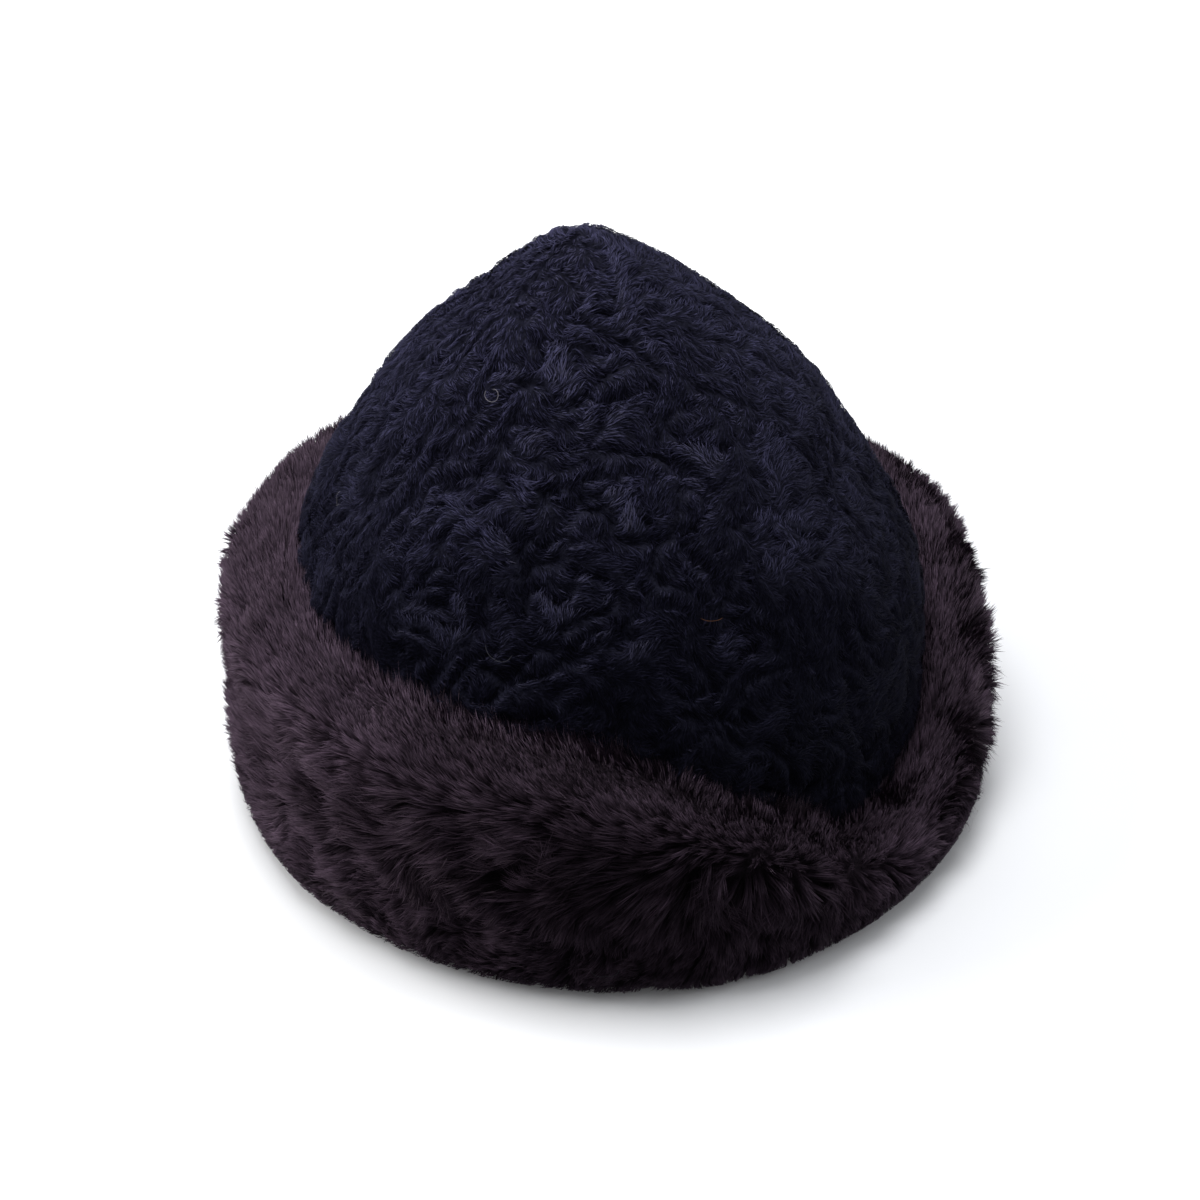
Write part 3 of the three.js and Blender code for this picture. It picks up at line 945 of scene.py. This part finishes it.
def make_cuff_fur(name, seed, first_turn, material):
    """The fur on one third of the cuff."""

    def wanted(turn, share):
        third = np.mod(turn - first_turn, FULL_TURN) < FULL_TURN / 3
        radius, height, _, _ = cuff_wall.read(turn, share)
        outside = radius > crown_radius(height) - FUR_BEHIND
        return third & outside & (height > FUR_LOWEST_ROOT)

    turn, share = scatter(cuff_wall, FUR_STRANDS, seed, wanted)
    rng = np.random.default_rng(seed)
    paths, normal, shading, variant = fur_paths(turn, share, rng)
    facing = face_out(unit(paths[:, -1] - paths[:, 0]), normal, rng)
    widths = FUR_WIDTH * rng.uniform(*STRAND_SPREAD, (len(turn), 1))
    return strand_piece(name, paths, widths, facing, shading, variant, material)


# Lint

LINT = {  # degrees round and millimetres up, length in millimetres, how far it curls, and tone
    "on": ("crown", "crown", "crown", "crown", "cuff", "cuff", "cuff"),
    "turn": (266, 233, 282, 323, 8, 240, 301),
    "height": (167, 123, 108, 115, 10, 50, 17),
    "length": (13, 9, 14, 8, 11, 8, 13),
    "curl": (300, 200, 150, 60, 120, 160, 140),
    "tone": (0.3, 0.2, 0.1, 1.0, 0.9, 0.2, 0.1),
}
LINT_WIDTH = 0.16 * MM
LINT_PLACES = 14
LINT_LIFT = 3.5 * MM  # off the part's outline
LINT_WAVE = 0.4 * MM  # how far a hair goes up and down along its length
LINT_WAVES = 9  # radians
LINT_CURVE = 1.3
LINT_COLOURS = {
    "tone": (0.1, 0.3, 0.9),
    "colour": ((0.05, 0.05, 0.06), (0.15, 0.14, 0.16), (0.14, 0.06, 0.03)),
}


def lint_material():
    """Loose hairs, from pale grey to orange."""
    shader = Shader("lint", specular_ior_level=0.3)
    uv = shader.node("ShaderNodeUVMap", uv_map="OFBake").outputs["UV"]
    tone = shader.node("ShaderNodeSeparateXYZ", {0: uv}).outputs["X"]
    colour = shader.ramp(tone, *zip(*LINT_COLOURS.values()))
    return shader.finish(colour, shader.range(tone, 0.4, 0.6))


def lint_path(wall, turn, height, length, curl):
    """The points of one hair, and the direction out of the wall under it."""
    heights = wall.fields[int(turn / FULL_TURN * wall.turns), :, 1]
    rising = heights[: np.argmax(heights) + 1]
    share = np.interp(height, rising, np.arange(len(rising))) / (wall.shares - 1)
    place, round_it, along, normal = wall.at(np.array([turn]), np.array([share]), [LINT_LIFT])
    reach = np.linspace(0, 1, LINT_PLACES)
    bend = curl * reach**LINT_CURVE + turn
    steps = np.outer(np.cos(bend), round_it[0]) + np.outer(np.sin(bend), along[0])
    path = place[0] + np.cumsum(steps, axis=0) * length / LINT_PLACES
    return path + np.outer(np.sin(LINT_WAVES * reach) * LINT_WAVE, normal[0]), normal[0]


def make_lint(part, wall, material):
    """A few fine loose hairs that lie curled on a part's fur, as one mesh."""
    paths, outward, tones = [], [], []
    for on, turn, height, length, curl, tone in zip(*LINT.values()):
        if on == part:
            path, out = lint_path(
                wall, math.radians(turn), height * MM, length * MM, math.radians(curl)
            )
            paths.append(path)
            outward.append(out)
            tones.append(tone)
    paths, outward, tones = np.array(paths), np.array(outward), np.array(tones)
    widths = np.full((len(paths), 1), LINT_WIDTH)
    return strand_piece(f"{part}_lint", paths, widths, outward, outward, tones, material)


# Floor, light and camera

CAMERA_AZIMUTH = math.radians(-56)
CAMERA_ELEVATION = math.radians(35.2)
CAMERA_DISTANCE = 1.0
CAMERA_AIM = Vector((-1.8, 2.7, 63.1)) * MM
CAMERA_LENS = 90
CAMERA_FILM = 36
LIGHTS = {  # metres right, back and up from the hat, seen from the camera, and watts
    "name": ("key", "top", "front", "right"),
    "right": (-1.3, -0.1, -0.1, 1.2),
    "back": (0.35, 0.2, -0.4, 0.2),
    "up": (0.4, 1.5, 1.5, 0.3),
    "power": (23, 20, 3, 6),
    "colour": ((1, 0.99, 0.98), (0.97, 0.98, 1), (0.97, 0.98, 1), (0.95, 0.97, 1)),
    "gloss": (False, True, True, False),  # whether it shows in glossy surfaces
}
LIGHT_SIZE = 1.0
WORLD_COLOUR = 0.93, 0.95, 1, 1
WORLD_LIGHT = 0.14
WORLD_SEEN = 0.95  # a pale backdrop, which itself gives little light
FLOOR_REACH = 20  # metres from the hat to the floor's edges
FLOOR_GRAIN = 60 * MM
FLOOR_COLOURS = (0.88, 0.885, 0.9), (0.9, 0.905, 0.915)
FLOOR_PAINTED_LIGHT = 0.08, 1.0  # painted light: how bright the floor glows, dim beside the hat as painted shade and full far from it
PAINTED_SHADE_OFFSET = 60 * MM  # how far to the right the middle of the painted shade beside the hat lies
PAINTED_SHADE_EDGE = 120 * MM, 463 * MM
PAINTED_UNDER_SHADE_EDGE = 118 * MM, 133 * MM  # radii between which the painted shadow under the hat's edge ends
to_right = Vector((math.cos(CAMERA_AZIMUTH), math.sin(CAMERA_AZIMUTH), 0))
to_back = Vector((-math.sin(CAMERA_AZIMUTH), math.cos(CAMERA_AZIMUTH), 0))


def make_camera():
    camera = bpy.data.objects.new("camera", bpy.data.cameras.new("camera"))
    bpy.context.scene.collection.objects.link(camera)
    camera.data.lens = CAMERA_LENS
    camera.data.sensor_width = CAMERA_FILM
    away = Vector((0, 0, 1)) * math.sin(CAMERA_ELEVATION) - to_back * math.cos(CAMERA_ELEVATION)
    camera.location = CAMERA_AIM + away * CAMERA_DISTANCE
    camera.rotation_euler = away.to_track_quat("Z", "Y").to_euler()
    bpy.context.scene.camera = camera


def make_light(name, right, back, up, power, colour, gloss):
    """A square soft light, aimed at the hat."""
    light = bpy.data.objects.new(name, bpy.data.lights.new(name, "AREA"))
    bpy.context.scene.collection.objects.link(light)
    light.data.size = LIGHT_SIZE
    light.data.energy = power
    light.data.color = colour
    light.visible_glossy = gloss
    light.location = to_right * right + to_back * back + Vector((0, 0, up))
    light.rotation_euler = light.location.to_track_quat("Z", "Y").to_euler()


def make_world():
    world = bpy.data.worlds.new("studio")
    world.use_nodes = True
    background = world.node_tree.nodes["Background"]
    background.inputs["Color"].default_value = WORLD_COLOUR
    path = world.node_tree.nodes.new("ShaderNodeLightPath")
    seen = world.node_tree.nodes.new("ShaderNodeMapRange")
    seen.inputs["To Min"].default_value = WORLD_LIGHT
    seen.inputs["To Max"].default_value = WORLD_SEEN
    world.node_tree.links.new(path.outputs["Is Camera Ray"], seen.inputs["Value"])
    world.node_tree.links.new(seen.outputs["Result"], background.inputs["Strength"])
    bpy.context.scene.world = world


def make_floor():
    """A floor that glows with painted light and is pale to the eye, with painted shade beside the
    hat and a painted shadow under its edge; it casts no light on the hat.
    """
    corners = [(-1, -1, 0), (1, -1, 0), (1, 1, 0), (-1, 1, 0)]
    points = FLOOR_REACH * np.array(corners)
    shader = Shader("floor", specular_ior_level=0.1, emission_color=(1, 1, 1, 1))
    # painted shade beside the hat: the floor's painted light dims towards the hat, most on its
    # right
    from_painted_shade = {0: shader.place(), 1: PAINTED_SHADE_OFFSET * to_right}
    far = shader.node("ShaderNodeVectorMath", from_painted_shade, operation="DISTANCE")
    painted_light_beside = shader.range(far.outputs["Value"], *FLOOR_PAINTED_LIGHT, *PAINTED_SHADE_EDGE)
    # painted shadow under the hat's edge, where the floor's glow goes out
    reach = shader.node("ShaderNodeVectorMath", {0: shader.place()}, operation="LENGTH")
    painted_shadow_under = shader.range(reach.outputs["Value"], 0, 1, *PAINTED_UNDER_SHADE_EDGE)
    painted_floor_light = shader.product(painted_light_beside, painted_shadow_under)
    shader.links.new(painted_floor_light, shader.surface.inputs["Emission Strength"])
    grain = shader.noise(FLOOR_GRAIN)
    colour = shader.ramp(grain, *zip((0.2, 0.8), FLOOR_COLOURS))
    material = shader.finish(colour, shader.range(grain, 0.7, 0.8))
    floor = mesh_piece("floor", points, np.array([[0, 1, 2], [0, 2, 3]]), material)
    floor.visible_diffuse = False
    floor.visible_glossy = False


# The hat

PILE_START = math.radians(214)  # the turn where the first half of the crown's pile begins
PILE_SEED = 50
FUR_START = math.radians(190)  # the turn where the first third of the cuff's fur begins
FUR_SEED = 60
SEED_STEP = 2  # as each piece draws from its seed and the next one

crown_skin = make_crown_skin()
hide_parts("crown")
cuff_skin = make_cuff_skin()
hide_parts("cuff")
pile = strand_material("crown_pile_strands", PILE_LOOK, PILE_SOCKETS)
fur = strand_material("cuff_fur_strands", FUR_LOOK, FUR_SOCKETS)
lint = lint_material()
crown_pieces = [crown_skin]
for index, side in enumerate(("left", "right")):
    first_turn = PILE_START + index * math.pi
    seed = PILE_SEED + SEED_STEP * index
    crown_pieces.append(make_crown_pile(f"crown_pile_{side}", seed, first_turn, pile))
cuff_pieces = [cuff_skin]
for index, side in enumerate(("left", "right", "back")):
    first_turn = FUR_START + index * FULL_TURN / 3
    seed = FUR_SEED + SEED_STEP * index
    cuff_pieces.append(make_cuff_fur(f"cuff_fur_{side}", seed, first_turn, fur))
crown_pieces.append(make_lint("crown", crown_wall, lint))
cuff_pieces.append(make_lint("cuff", cuff_wall, lint))
for pieces, slot in (crown_pieces, "crown_pile"), (cuff_pieces, "cuff_fur"):
    for piece in pieces:
        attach(piece, "root")

make_floor()
make_world()
for row in zip(*LIGHTS.values()):
    make_light(*row)
make_camera()
bpy.context.scene.view_settings.view_transform = "Standard"
